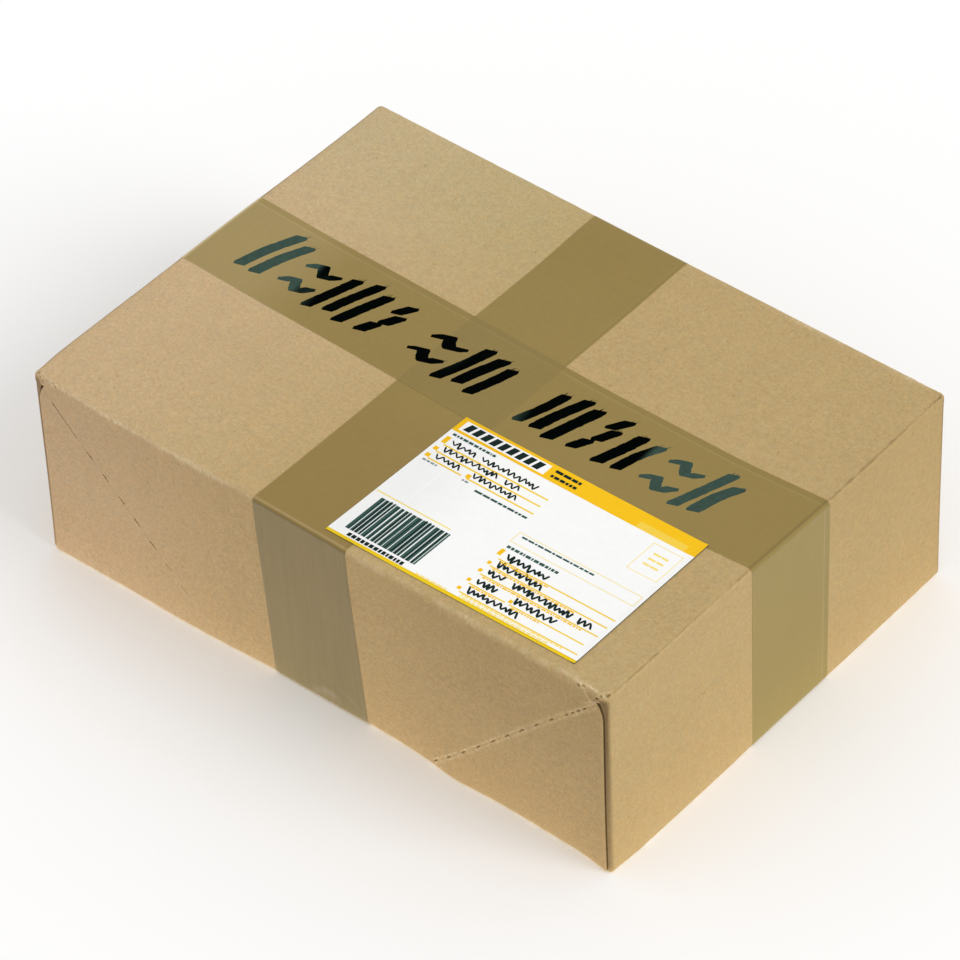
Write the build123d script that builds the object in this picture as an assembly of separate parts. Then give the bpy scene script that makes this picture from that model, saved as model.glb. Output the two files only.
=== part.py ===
from build123d import *
from math import sqrt
import os

# A corrugated carton taped shut both ways round, with an address label on its top panel.
# Frame: origin under the middle of the carton on the surface that it stands on,
# +X along the length, +Y across the width towards the back, +Z up.

# Carton, outside sizes
length = 308.0
width = 221.0
height = 101.0
board = 3.0

# Folds
long_fold_radius = 2.0
end_fold_radius = 2.0
wrap_radius = 1.4
top_corner_radius = 2.0

# Cut corners of the long sides: the end panels wrap round nearly flush, beyond a slit
wrap_recess = 0.9
slit_width = 0.5
slit_inset = 1.6
corner_cap = 4.5
shoulder_drop = 9.0
shoulder_inset = 3.0

# Collapsing creases of the long sides, which run down at 45 degrees from the end panels
crease_top = 100.4
crease_depth = 0.5
crease_margin = 5.0
nick_length = 3.0
nick_width = 0.7
nick_depth = 1.0
first_nick = 15.7
close_nicks = 4
close_pitch = 4.5
nick_count = 13
nick_pitch = 11.2

# Closing flaps under the carton
seam_width = 1.0
seam_depth = 2.0

# Tape, drawn thicker than film so that it stays a sound solid
tape_width = 50.0
tape_thickness = 0.3
cross_tape_x = -5.2
long_tape_y = 4.7

# Address label
label_length = 126.0
label_width = 84.5
label_thickness = 0.25
label_x = 68.8
label_y = -61.7
label_turn = 1.15

# Clearance of the drape where one sheet climbs over the edge of another
drape = 0.5
# Overshoot of cutting shapes past the faces that they cut
spare = 1.0


def section(wide, low, high, radius):
    """Outline of a box section with its four folds rounded, standing on low."""
    face = Pos(0, (low + high) / 2) * Rectangle(wide, high - low)
    return fillet(face.vertices(), radius)


def slab(face, plane, thickness):
    """The outline drawn on a plane through the origin, made thick both ways."""
    return extrude(plane * face, amount=thickness / 2, both=True)


def four_corners(shape):
    """A shape at the front right corner, repeated at all four upright corners."""
    pair = [shape, mirror(shape, Plane.YZ)]
    return pair + [mirror(one, Plane.XZ) for one in pair]


# Upright corners: each end panel turns the corner and goes in through a slit beside
# the cut edge of the long side.
cut_edge_x = length / 2 - slit_inset - slit_width


def folded_block():
    """The erected carton, closed, with its cut corners and rounded folds."""
    ends = RectangleRounded(length, width - 2 * wrap_recess, wrap_radius)
    long_sides = Rectangle(2 * cut_edge_x, width)
    lower = extrude(ends + long_sides, amount=height - corner_cap)
    top_panel = RectangleRounded(length, width, top_corner_radius)
    cap = extrude(Plane.XY.offset(height - corner_cap) * top_panel, amount=corner_cap)
    long_folds = slab(section(width, 0, height, long_fold_radius), Plane.YZ, length)
    end_folds = slab(section(length, 0, height, end_fold_radius), Plane.XZ, width)
    return (lower + cap) & long_folds & end_folds


def slits():
    """Slits beside the cut edges, one board thickness deep."""
    deep = Box(slit_width, 2 * board, height - corner_cap, align=(Align.MIN, Align.CENTER, Align.MIN))
    return four_corners(Pos(cut_edge_x, -width / 2, 0) * deep)


def shoulders():
    """Rounded upper corners of the long sides, beside the slits."""
    radius = (shoulder_drop**2 + shoulder_inset**2) / (2 * shoulder_inset)
    foot = height - corner_cap - shoulder_drop
    piece = Pos(cut_edge_x - shoulder_inset / 2, foot + shoulder_drop / 2)
    region = piece * Rectangle(shoulder_inset, shoulder_drop)
    region -= Pos(cut_edge_x - radius, foot) * Circle(radius)
    front = Plane.XZ.offset(width / 2 - board) * region
    return four_corners(extrude(front, amount=board + spare))


def crease_spot(down):
    """Place on the front right crease, at a distance down it: local X runs along the crease."""
    return Pos(length / 2, -width / 2, crease_top) * Rot(0, -45, 0) * Pos(-down, 0, 0)


def creases():
    """Pressed diagonal creases and the rows of cuts that let them fold."""
    start = crease_margin * sqrt(2)
    end = (crease_top - crease_margin) * sqrt(2)
    side = crease_depth * sqrt(2)
    groove = Rot(45, 0, 0) * Box(end - start, side, side)
    cutters = four_corners(crease_spot((start + end) / 2) * groove)
    nick = Box(nick_length, 2 * nick_depth, nick_width)
    down = first_nick
    for number in range(nick_count):
        cutters += four_corners(crease_spot(down) * nick)
        down += close_pitch if number < close_nicks - 1 else nick_pitch
    return cutters


def flap_seams():
    """Underside: the long flaps meet in the middle, and their ends stop short of the end folds."""
    centre_seam = Box(2 * cut_edge_x, seam_width, 2 * seam_depth)
    end_x = cut_edge_x + slit_width / 2
    end_seam = Box(slit_width, width - 2 * board, 2 * seam_depth)
    return [centre_seam, Pos(end_x, 0, 0) * end_seam, Pos(-end_x, 0, 0) * end_seam]


def tape_loop(wide, radius):
    """Section of a tape wound once round the box: bedded level underneath, proud elsewhere."""
    outer = section(wide + 2 * tape_thickness, 0, height + tape_thickness, radius + tape_thickness)
    return outer - section(wide, tape_thickness, height, radius)


def tape_band(reach, low):
    """Where a tape lies, on the level that starts at low, grown by reach at its edges."""
    cross = Pos(cross_tape_x, 0, low) * Box(
        tape_width + 2 * reach, width / 2, tape_thickness, align=(Align.CENTER, Align.CENTER, Align.MIN)
    )
    along = Pos(0, long_tape_y, low) * Box(
        length / 2, tape_width + 2 * reach, tape_thickness, align=(Align.CENTER, Align.CENTER, Align.MIN)
    )
    return cross, along


def tapes():
    """The cross tape, and the lengthwise tape that was wound over it."""
    cross = Pos(cross_tape_x, 0, 0) * slab(tape_loop(width, long_fold_radius), Plane.YZ, tape_width)
    along = Pos(0, long_tape_y, 0) * slab(tape_loop(length, end_fold_radius), Plane.XZ, tape_width)
    # The lengthwise tape climbs over the cross tape on the top panel, and the cross tape
    # passes above the lengthwise one underneath.
    wide_cross, _ = tape_band(drape, height + tape_thickness)
    _, narrow_along = tape_band(0, height + tape_thickness)
    along += wide_cross & narrow_along
    _, wide_along = tape_band(drape, tape_thickness)
    narrow_cross, _ = tape_band(0, tape_thickness)
    under = narrow_cross & wide_along
    lower_half = Box(length, width, height, align=(Align.CENTER, Align.CENTER, Align.MAX))
    below = Pos(0, 0, height / 2) * lower_half
    cross = (cross + under) - (along & below)
    along -= cross
    return cross, along


def label(cross, along):
    """Paper label, flat on the board and draped over the tape edges that it crosses."""
    place = Pos(label_x, label_y, height) * Rot(0, 0, label_turn)
    bottom = (Align.CENTER, Align.CENTER, Align.MIN)
    flat = place * Box(label_length, label_width, label_thickness, align=bottom)
    raised = place * Box(label_length, label_width, label_thickness + tape_thickness, align=bottom)
    over_cross = Pos(cross_tape_x, 0, height) * Box(tape_width + 2 * drape, width, board)
    over_along = Pos(0, long_tape_y, height) * Box(length, tape_width + 2 * drape, board)
    sheet = flat + (raised & (over_cross + over_along))
    return sheet - cross - along


def single(shape):
    """The one solid that a piece is made of."""
    return shape.solids().sort_by(SortBy.VOLUME)[-1]


tape_crosswise, tape_lengthwise = tapes()
carton = folded_block()
carton = carton.cut(*slits(), *shoulders(), *creases(), *flap_seams())
carton = carton.cut(tape_crosswise, tape_lengthwise)
parts = {
    "carton": carton,
    "tape_crosswise": tape_crosswise,
    "tape_lengthwise": tape_lengthwise,
    "address_label": label(tape_crosswise, tape_lengthwise),
}

os.makedirs("parts", exist_ok=True)
for name, shape in parts.items():
    print(name, "solids", len(shape.solids()), "volume", round(shape.volume, 2))
    export_step(single(shape), f"parts/{name}.step")
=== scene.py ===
from collections import namedtuple
import math

import bpy
import numpy as np
from mathutils import Matrix, Vector, geometry, kdtree


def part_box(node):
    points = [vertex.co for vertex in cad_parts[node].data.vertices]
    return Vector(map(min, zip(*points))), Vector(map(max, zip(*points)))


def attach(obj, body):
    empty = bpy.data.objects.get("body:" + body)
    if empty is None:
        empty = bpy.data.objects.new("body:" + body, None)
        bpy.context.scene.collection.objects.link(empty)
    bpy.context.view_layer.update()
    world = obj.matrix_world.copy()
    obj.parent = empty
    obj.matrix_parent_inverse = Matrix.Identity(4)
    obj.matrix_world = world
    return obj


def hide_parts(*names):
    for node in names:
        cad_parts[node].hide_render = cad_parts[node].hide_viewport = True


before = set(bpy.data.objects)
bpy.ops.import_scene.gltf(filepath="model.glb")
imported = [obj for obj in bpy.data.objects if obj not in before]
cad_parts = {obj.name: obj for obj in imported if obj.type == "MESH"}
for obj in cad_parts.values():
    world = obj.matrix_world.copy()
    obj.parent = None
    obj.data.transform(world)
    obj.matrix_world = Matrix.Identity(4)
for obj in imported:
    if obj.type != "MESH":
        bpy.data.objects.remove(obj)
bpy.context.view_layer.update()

# Everything below is worked out in millimetres and turned into metres as it is built.
MM = 0.001
QUARTER_TURN = math.pi / 2

# The carton's outside sizes
carton_low, carton_high = (np.array(corner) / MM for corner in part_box("carton"))
length, width, height = carton_high - carton_low
half_length = length / 2
half_width = width / 2

# Folds of the carton; the upper front one is worn rounder on its right
board = 3.0
fold_radius = 2.0
worn_fold_radius = 2.8
fold_reach = 4.0
fold_steps = 10

# Cut corners: the end panels wrap round beyond a slit, up to the closed corner above it
corner_zone = 12.0
slit_inset = 1.85
slit_width = 0.5
cut_inset = slit_inset + slit_width
cut_rim = 0.35
wrap_recess = 0.6
wrap_radius = 1.4
wrap_steps = 6
cap_height = 4.5
cap_radius = 2.0
shoulder_drop = 10.0
shoulder_inset = 3.8

# Collapsing creases of the long sides, measured from the end panels and the underside
crease_top = 100.4
crease_margin = 5.0
crease_foot = 3.0
first_nick = 15.7
close_nicks = 4
close_pitch = 4.5
nick_count = 13
nick_pitch = 11.5

# Seams of the closing flaps under the carton
seam_inset = 2.6
seam_half_width = 0.3
seam_depth = 1.8

# Tape: its width, its film, the step where its second layer ends beside one edge, and how far
# beside its edges the sheet above it starts to climb
tape_width = 50.2
film = 0.07
lap_step = 0.03
drape = 0.7

# How fine the layouts are: the carton's walls along and up, its shoulders, creases, top corners and
# seams, the spots that fill its walls and its two panels, which keep off the folds by a margin, the
# tapes, and the label
around_step = 1.5
up_step = 1.7
shoulder_step = 0.5
crease_step = 0.9
corner_step = 0.6
seam_step = 1.5
wall_fill = 2.9
top_fill = 3.2
bottom_fill = 4.5
panel_margin = 1.5
tape_step = 2.6
label_step = 2
label_fill = 3.0

# Paper label: far left, far right, near right and near left corners on the top panel, and how
# far it stands off what it lies on
label_corners = np.array([(7.4, -21.1), (131.8, -18.4), (131.8, -103.1), (4.7, -105.8)])
label_length = 126.0
label_width = 84.5
paper = 0.2
label_gap = 0.03

# Board under the parcel gives way by this much along the tapes, and the rest stands this much off
# the floor
bed_depth = 0.40
stand = 0.05


def rise(value, start, end):
    """Smooth step from 0 at start to 1 at end."""
    share = np.clip((value - start) / (end - start), 0, 1)
    return share * share * (3 - 2 * share)


def fall(value, start, end):
    """Smooth step from 1 at start to 0 at end."""
    return 1 - rise(value, start, end)


def bell(value, centre, spread):
    """Bell of height 1 about a centre."""
    return np.exp(-(((value - centre) / spread) ** 2))


def eased(value, knots, levels, reach):
    """Straight runs between knots, with their corners rounded over a reach."""
    shifts = np.linspace(-reach, reach, 9)
    return np.mean([np.interp(value + shift, knots, levels) for shift in shifts], axis=0)


def ripple(spots, wavelength, seed, waves=9):
    """Irregular smooth field of about -1 to 1 whose bumps are about a wavelength across."""
    draw = np.random.default_rng(seed)
    total = np.zeros(len(spots))
    for _ in range(waves):
        direction = draw.normal(size=spots.shape[1])
        direction *= draw.uniform(0.7, 1.5) / np.linalg.norm(direction)
        phase = draw.uniform(0, 2 * math.pi)
        total += np.sin(spots @ direction * 2 * math.pi / wavelength + phase)
    return total * math.sqrt(2 / waves) / 1.6


# Both tapes: half of the box's size along each; distances along it from the middle of the top
# panel, and how far its middle line lies there to the right (crosswise) or to the back; how far
# its second layer stays off one edge; and how far it stands off what it lies on
Tape = namedtuple("Tape", "half knots middle lap gap")
cross = Tape(
    half_width,
    [-320, -212, -193, -117, -99, -45, 101, 212, 320],
    [-3.4, -2.4, -3.0, -6.0, -5.5, -4.8, -5.9, -5.0, -3.34],
    1.9,
    0.01,
)
long = Tape(
    half_length,
    [-406, -206, -129, -44, 40, 113, 160, 246, 406],
    [4.6, 6.0, 5.5, 4.1, 2.7, 3.8, 7.0, 5.6, 4.6],
    3.4,
    0.02,
)
course_easing = 9.0


def band_half(half):
    """Half of the way round the box along a tape."""
    return 2 * (half - fold_radius) + 2 * fold_radius * QUARTER_TURN + height - 2 * fold_radius


cross_reach = band_half(half_width)
long_reach = band_half(half_length)


def course(tape, along):
    """How far right or back the middle of a tape lies, at a distance along it."""
    return eased(along, tape.knots, tape.middle, course_easing)


def within(tape, place, along):
    """How far a spot lies inside a tape's edges."""
    return tape_width / 2 - np.abs(place - course(tape, along))


def cover(inside):
    """How far a sheet is lifted by the edge of the tape it crosses, from 0 off it to 1 on it."""
    return rise(inside, -drape, 0)


# Lean of the front wall's foot towards the back, along the front
lean_x = [-154, -105, -82, -62, -49, -31, -18, 0, 13, 29, 44, 58, 70, 93, 106, 122, 137, 147, 154]
lean_foot = [-1.8, -0.6, -0.45, 0.35, 1.1, 2.05, 1.85, 2.15, 2.2, 2.95,
             2.9, 2.05, 0.6, 2.2, 2.3, 2.1, 1.9, 0.6, -0.4]
# Height of the front wall's upper fold against the rest of the top panel
sag_x = [-154, -125, -101, -75, -45, -20, 60, 126, 154]
sag_top = [-0.9, -1.3, -1.6, -1.1, -0.3, 0, 0, 0.3, 0]
# How far into the box the walls' lean and bulge and the top panel's sag and lift reach, how fast
# the lean fades with height, and how far beside a tape its bed reaches
lean_zone = 60
lean_fade = 1.3
end_lean_zone = 40
bulge_zone = 30
sag_zone = 17
lift_zone = 45
bed_zone = 14


def settle(spots):
    """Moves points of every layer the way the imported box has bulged, leaned and settled."""
    x, y, z = spots.T
    up = z / height
    moved = spots.copy()
    below_top = np.clip(1 - up, 0, 1) ** lean_fade
    near_top = rise(z, height - lift_zone, height - 3)
    foot = eased(x, lean_x, lean_foot, 6)
    moved[:, 1] += foot * rise(-y, half_width - lean_zone, half_width) * below_top
    sag = eased(x, sag_x, sag_top, 10) * rise(-y, half_width - sag_zone, half_width - 1)
    moved[:, 2] += sag * near_top
    # The right end panel's foot and the top panel's left and rear edges stand a little proud.
    end_foot = 0.88 + 0.27 * bell(y, -50, 40) - 0.2 * rise(y, 20, 60)
    end_foot = end_foot * rise(y, -half_width, -half_width + 20)
    moved[:, 0] += end_foot * rise(x, half_length - end_lean_zone, half_length) * below_top
    left_edge = (0.5 + 0.75 * bell(y, 5, 40)) * rise(-x, half_length - lift_zone, half_length - 1)
    rear_edge = (0.65 + 0.8 * bell(x, -48, 50)) * rise(y, half_width - lift_zone, half_width - 1)
    moved[:, 2] += np.maximum(left_edge, rear_edge) * near_top
    # The walls and the top panel bulge unevenly.
    middle_x = fall(np.abs(x), 0, half_length)
    middle_y = fall(np.abs(y), 0, half_width)
    moved[:, 2] += rise(up, 0.6, 1) * (0.35 * ripple(spots, 190, 3) + 0.3 * middle_x * middle_y)
    moved[:, 0] += 0.3 * rise(np.abs(x), half_length - bulge_zone, half_length) * ripple(spots, 140, 5)
    moved[:, 1] += 0.25 * rise(np.abs(y), half_width - bulge_zone, half_width) * ripple(spots, 150, 7)
    # The underside stands level on the lower layer of tape.
    over_cross = rise(within(cross, x, cross_reach - np.abs(y)), -bed_zone, 0)
    over_long = rise(within(long, y, long_reach - np.abs(x)), -bed_zone, 0)
    bedded = np.maximum(over_cross, over_long)
    moved[:, 2] += (stand + bed_depth * bedded) * fall(z, 0, 8)
    return moved


# Meshes: the tolerance of the flat layouts, how near their corners and the points of two rims come
# before they are joined, and the angle from which an edge is drawn sharp
layout_tolerance = 1e-5
corner_merge = 0.0004
rim_merge = 0.02
sharp_angle = math.radians(42)


def outward(ring):
    """The ring's points in anticlockwise order."""
    x, y = np.array(ring, dtype=float).T
    area = np.sum(x * np.roll(y, -1) - y * np.roll(x, -1))
    return ring if area > 0 else ring[::-1]


def layout(outline, spots, regions=()):
    """Triangles over a flat outline through extra spots, cut along the edges of the regions.
    Returns the flat corners, the triangles and the number of the uppermost region of each."""
    flat = [Vector(spot) for spot in outward(outline)]
    loops = [list(range(len(flat)))]
    for region in regions:
        loops.append(list(range(len(flat), len(flat) + len(region))))
        flat += [Vector(spot) for spot in outward(region)]
    flat += [Vector(spot) for spot in spots]
    corners, _, triangles, _, _, origins = geometry.delaunay_2d_cdt(flat, [], loops, 1, layout_tolerance)
    # Corners that all but meet become one, and the slivers between them go.
    tree = near_tree(corners)
    near = [tree.find_range((*spot, 0), corner_merge) for spot in corners]
    first = np.array([min(found[1] for found in group) for group in near])
    triangles = first[np.array(triangles)]
    whole = (triangles != np.roll(triangles, 1, axis=1)).all(axis=1)
    kept = [number for number, found in enumerate(origins) if 0 in found and whole[number]]
    triangles = triangles[kept]
    region = np.array([max(origins[number]) for number in kept])
    used, triangles = np.unique(triangles, return_inverse=True)
    corners = np.array([corners[number] for number in used])
    return corners, triangles.reshape(-1, 3), region


def near_tree(spots):
    """A search tree over flat or solid spots."""
    tree = kdtree.KDTree(len(spots))
    for number, spot in enumerate(spots):
        tree.insert((*spot, 0) if len(spot) == 2 else spot, number)
    tree.balance()
    return tree


def sparse(first, *groups):
    """Spots of several groups, without those too near to the first spots or an earlier group."""
    kept = np.array(first)
    for spots, gap in groups:
        tree = near_tree(kept)
        clear = [spot for spot in spots if tree.find((*spot, 0))[2] > gap]
        kept = np.vstack([kept, clear])
    return kept[len(first):]


def stagger(low, high, step):
    """Spots of an even triangular grid inside a rectangle."""
    row_step = step * math.sqrt(3) / 2
    rows = np.arange(low[1] + row_step / 2, high[1], row_step)
    spots = []
    for number, row in enumerate(rows):
        start = low[0] + step * (0.25 + 0.5 * (number % 2))
        spots += [(x, row) for x in np.arange(start, high[0], step)]
    return np.array(spots)


def lattice(columns, rows):
    """Every pair of a column and a row."""
    return np.array([(column, row) for column in columns for row in rows])


def grid_rim(columns, rows, left, right):
    """Every spot on the outside of a grid that ends at left and right, in anticlockwise order."""
    near = [(column, rows[0]) for column in columns] + [(right, row) for row in rows[1:]]
    far = [(column, rows[-1]) for column in columns[-2::-1]] + [(left, row) for row in rows[-2:0:-1]]
    return near + far


def divided(stops, step):
    """The stops, with the gaps between them divided evenly into steps no longer than given."""
    values = [stops[0]]
    for start, end in zip(stops, stops[1:]):
        pieces = max(1, math.ceil((end - start) / step - 1e-6))
        values += [start + (end - start) * number / pieces for number in range(1, pieces + 1)]
    return np.array(values)


def distinct(values):
    """The different values, in rising order."""
    return np.unique(np.round(values, 5))


def normals_of(points, triangles):
    """Unit normals of the points of a triangle mesh, weighted by area."""
    a, b, c = (points[triangles[:, k]] for k in range(3))
    face = np.cross(b - a, c - a)
    total = np.zeros_like(points)
    for k in range(3):
        np.add.at(total, triangles[:, k], face)
    size = np.linalg.norm(total, axis=1, keepdims=True)
    return total / np.maximum(size, 1e-12)


def open_rim(triangles):
    """Directed edges that only one triangle uses."""
    edges = np.vstack([triangles[:, [0, 1]], triangles[:, [1, 2]], triangles[:, [2, 0]]])
    count = triangles.max() + 1
    there = edges[:, 0] * count + edges[:, 1]
    back = edges[:, 1] * count + edges[:, 0]
    return edges[~np.isin(there, back)]


def joined(points, triangles):
    """Joins points of open rims that meet. Returns which points are kept, and the triangles."""
    rim = np.unique(open_rim(triangles))
    tree = near_tree(points[rim])
    first = np.arange(len(points))
    for index in rim:
        first[index] = min(rim[found[1]] for found in tree.find_range(points[index], rim_merge))
    kept, triangles = np.unique(first[triangles], return_inverse=True)
    return kept, triangles.reshape(-1, 3)


def shell(spots, triangles, place, ring_reach=None):
    """Closes a flat layout into a thin body; place(spots, upper) gives its two sides. A ring meets
    itself at its reach. Returns the points, the triangles and each point's place in the layout."""
    count = len(spots)
    points = np.vstack([place(spots, 1), place(spots, 0)])
    rim = open_rim(triangles)
    if ring_reach:
        rim = rim[np.abs(spots[rim, 0]).min(axis=1) < ring_reach - 0.01]
    a, b = rim.T
    sides = np.vstack([np.column_stack([b, a, count + a]), np.column_stack([b, count + a, count + b])])
    faces = np.vstack([triangles, triangles[:, ::-1] + count, sides])
    kept, faces = joined(points, faces)
    return points[kept], faces, kept % count


# Pieces: the CAD node that each stands for, its own name and its material slot
pieces = {
    "carton": ("carton_board", "kraft_board"),
    "tape_crosswise": ("tape_crosswise_film", "brown_tape"),
    "tape_lengthwise": ("tape_lengthwise_film", "brown_tape"),
    "address_label": ("address_label_sheet", "label_paper"),
}


def build(node_name, points, triangles, marks, materials, tone):
    """Makes the object of a piece, in metres. Marks choose each triangle's material."""
    name, slot = pieces[node_name]
    mesh = bpy.data.meshes.new(name)
    mesh.from_pydata((points * MM).tolist(), [], triangles.tolist())
    for material in materials:
        mesh.materials.append(material)
    mesh.polygons.foreach_set("material_index", np.full(len(triangles), marks, dtype=np.int32))
    attribute = mesh.attributes.new("tone", "FLOAT", "POINT")
    attribute.data.foreach_set("value", np.full(len(points), tone, dtype=np.float32))
    mesh.shade_smooth()
    mesh.set_sharp_from_angle(angle=sharp_angle)
    mesh.validate()
    made = bpy.data.objects.new(name, mesh)
    bpy.context.scene.collection.objects.link(made)
    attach(made, "root")
    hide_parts(node_name)


def gap_to(spots, path):
    """Distance from each spot to a line through the places of a path."""
    gaps = np.full(len(spots), np.inf)
    for start, end in zip(path, path[1:]):
        run = np.subtract(end, start)
        share = np.clip((spots - start) @ run / (run @ run), 0, 1)
        gaps = np.minimum(gaps, np.linalg.norm(spots - start - share[:, None] * run, axis=1))
    return gaps


# Carton: plan outline of a quarter, from the middle of a long side round the corner to the
# middle of an end panel, as distances inwards from the end panel and from the long side.
side_insets = [corner_zone, 9.5, 7, 5, 3.6, 2.8]
end_depths = [3, 4.5, 7, 9.5, corner_zone]


def rounded_corner(radius, recess):
    """Knots of a rounded corner from the long side to the end panel."""
    turns = np.linspace(0, QUARTER_TURN, wrap_steps)
    return [(radius * (1 - math.sin(turn)), recess + radius * (1 - math.cos(turn))) for turn in turns]


def quarter_knots(corner):
    """Knots of a whole quarter round the knots of its corner."""
    long_side = [(half_length, 0)] + [(inset, 0) for inset in side_insets]
    end_panel = [(0, depth) for depth in end_depths] + [(0, half_width)]
    return np.array(long_side + corner + end_panel)


# The slit corner: the cut edge, the slit, then the wrapped panel
cut_edge = [
    (cut_inset + cut_rim, 0),
    (cut_inset + 0.1, 0.08),
    (cut_inset, cut_rim),
    (cut_inset, board),
    (slit_inset, board),
    (slit_inset, wrap_recess + 0.12),
]
cut_knots = quarter_knots(cut_edge + rounded_corner(wrap_radius, wrap_recess))
# The same knots where the corner is closed and rounded, under the top panel
closed_edge = [(inset, 0) for inset in np.linspace(2.7, cap_radius + 0.05, len(cut_edge))]
closed_knots = quarter_knots(closed_edge + rounded_corner(cap_radius, 0))
knot_steps = np.linalg.norm(np.diff(cut_knots, axis=0), axis=1)
knot_reach = np.concatenate([[0], np.cumsum(knot_steps)])
quarter_reach = knot_reach[-1]
# How far each knot follows the cut edge where it swings away from the corner
follow_shares = [0, 0, 0.15, 0.35, 0.65, 0.85, 0.95, 1, 1, 1, 1, 0.75, 0.75]
knot_follow = np.array(follow_shares + [0] * (len(knot_reach) - len(follow_shares)))
belt_reach = 2 * fold_reach + height - 2 * fold_radius
closed_from = height - cap_height
foot_of_shoulder = closed_from - shoulder_drop


def shoulder(z):
    """How far the cut edge has swung away from the corner at a height."""
    radius = (shoulder_drop**2 + shoulder_inset**2) / (2 * shoulder_inset)
    climb = np.clip(z - foot_of_shoulder, 0, shoulder_drop)
    return radius - np.sqrt(radius**2 - climb**2)


def belt(spots):
    """Places spots of the belt's layout, along the walls and up them, on the carton."""
    along, up = spots.T
    quarter, local = np.divmod(along, quarter_reach)
    quarter = quarter.astype(int) % 4
    local = np.where(quarter % 2 == 0, local, quarter_reach - local)
    side_x = np.array([1, 1, -1, -1])[quarter]
    side_y = np.array([-1, 1, 1, -1])[quarter]
    inset = np.interp(local, knot_reach, cut_knots[:, 0])
    x = side_x * (half_length - inset)
    worn = rise(x, 24, 50) * fall(x, 128, 141) * (side_y < 0)
    upper_radius = fold_radius + (worn_fold_radius - fold_radius) * worn
    lower = np.clip(1 - up / fold_reach, 0, 1) * QUARTER_TURN
    upper = np.clip((up - belt_reach + fold_reach) / fold_reach, 0, 1) * QUARTER_TURN
    wall = np.clip((up - fold_reach) / (belt_reach - 2 * fold_reach), 0, 1)
    z = fold_radius * (1 - np.sin(lower)) + wall * (height - fold_radius - upper_radius)
    z += upper_radius * np.sin(upper)
    turn = fold_radius * (1 - np.cos(lower)) + upper_radius * (1 - np.cos(upper))
    closing = rise(z, closed_from - 0.35, closed_from + 0.35)
    inset = inset + np.interp(local, knot_reach, knot_follow) * shoulder(z)
    inset = inset * (1 - closing) + np.interp(local, knot_reach, closed_knots[:, 0]) * closing
    depth = np.interp(local, knot_reach, cut_knots[:, 1]) * (1 - closing)
    depth += np.interp(local, knot_reach, closed_knots[:, 1]) * closing
    inset = inset + turn * fall(inset, 0, corner_zone)
    depth = depth + turn * fall(depth, 0, corner_zone)
    return np.column_stack([side_x * (half_length - inset), side_y * (half_width - depth), z])


def round_the_box(local):
    """Layout places of distances along a quarter, in all four quarters."""
    return [number * quarter_reach + local if number % 2 == 0
            else (number + 1) * quarter_reach - local for number in range(4)]


# Cuts along the creases, in two kinds: stamped holes, and thin slits that stayed nearly shut
CutKind = namedtuple("CutKind", "half_length half_width depth dark tilt start shift drift")
stamped = CutKind(2.2, 0.30, 0.5, 0.12, math.radians(4), 1.2, 0.3, 1.3)
shut = CutKind(3.4, 0.26, 0.45, 0.6, math.radians(-3), 1.6, 1.1, 0)
cut_kinds = [stamped, shut, stamped, shut]
crease_start = crease_margin * math.sqrt(2)
crease_end = (crease_top - crease_foot) * math.sqrt(2)
nicks = first_nick + np.array([close_pitch * min(number, close_nicks - 1)
                               + nick_pitch * max(0, number - close_nicks + 1)
                               for number in range(nick_count)])
nick_ring_scales = [0.25, 0.6, 1.0, 1.35, 1.9]
crease_offsets = [-2.6, -1.7, -1.1, -0.55, 0, 0.55, 1.1, 1.7, 2.6]
# How open each of the nearly shut slits is, from the top down
shut_openness = [0.8, 0.8, 0.7, 0.8, 0.9, 1.0, 0.5, 0.65, 0.55, 0.4, 0.25, 0.12, 0.1]


def crease_place(inset, z):
    """Distance down along the crease and distance off it, towards the end panel's foot."""
    return (inset - z + crease_top) / math.sqrt(2), (crease_top - inset - z) / math.sqrt(2)


def crease_spot(down, off):
    """Distance from the end panel and height of a spot beside the crease."""
    return (down - off) / math.sqrt(2), crease_top - (down + off) / math.sqrt(2)


def crease_line(kind, down):
    """How far off its ideal line a crease runs, at a distance down it."""
    return kind.shift + kind.drift * rise(down, 40, 115)


def in_nick(down, off, middle, kind):
    """Coordinates along and across one cut, as shares of its half length and half width."""
    run = down - middle - kind.start
    off = off - crease_line(kind, middle)
    along = run * math.cos(kind.tilt) + off * math.sin(kind.tilt)
    across = -run * math.sin(kind.tilt) + off * math.cos(kind.tilt)
    return along / kind.half_length, across / kind.half_width


def nick_rings(kind):
    """Spots in rings round the cuts of a crease, as distances down it and off it."""
    rings = []
    for middle in nicks:
        for scale in nick_ring_scales:
            reach = kind.half_length * min(scale, 1 + (scale - 1) * 0.35)
            for angle in np.linspace(0, 2 * math.pi, 15)[:-1]:
                a = reach * math.cos(angle)
                b = kind.half_width * scale * math.sin(angle)
                run = a * math.cos(kind.tilt) - b * math.sin(kind.tilt)
                off = a * math.sin(kind.tilt) + b * math.cos(kind.tilt)
                rings.append((middle + kind.start + run, off + crease_line(kind, middle)))
    return np.array(rings)


def on_belt(quarter, inset, z):
    """Layout places of spots on the long side of one quarter."""
    return np.column_stack([round_the_box(half_length - inset)[quarter], z - fold_radius + fold_reach])


def all_round(local):
    """Different layout places, in rising order, of distances along a quarter."""
    return distinct(np.concatenate(round_the_box(local)))


def belt_rows(fold_rows):
    """Rows of the belt's layout from the lower to the upper folds, closer where the shoulders are."""
    shoulder_row = foot_of_shoulder - fold_radius + fold_reach
    closing_row = closed_from - fold_radius + fold_reach
    return distinct(np.concatenate([
        fold_rows,
        divided([fold_reach, shoulder_row], up_step),
        divided([shoulder_row, belt_reach - fold_reach], shoulder_step),
        np.arange(closing_row - 0.6, closing_row + 0.61, 0.15),
        belt_reach - fold_rows[::-1],
    ]))


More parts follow.
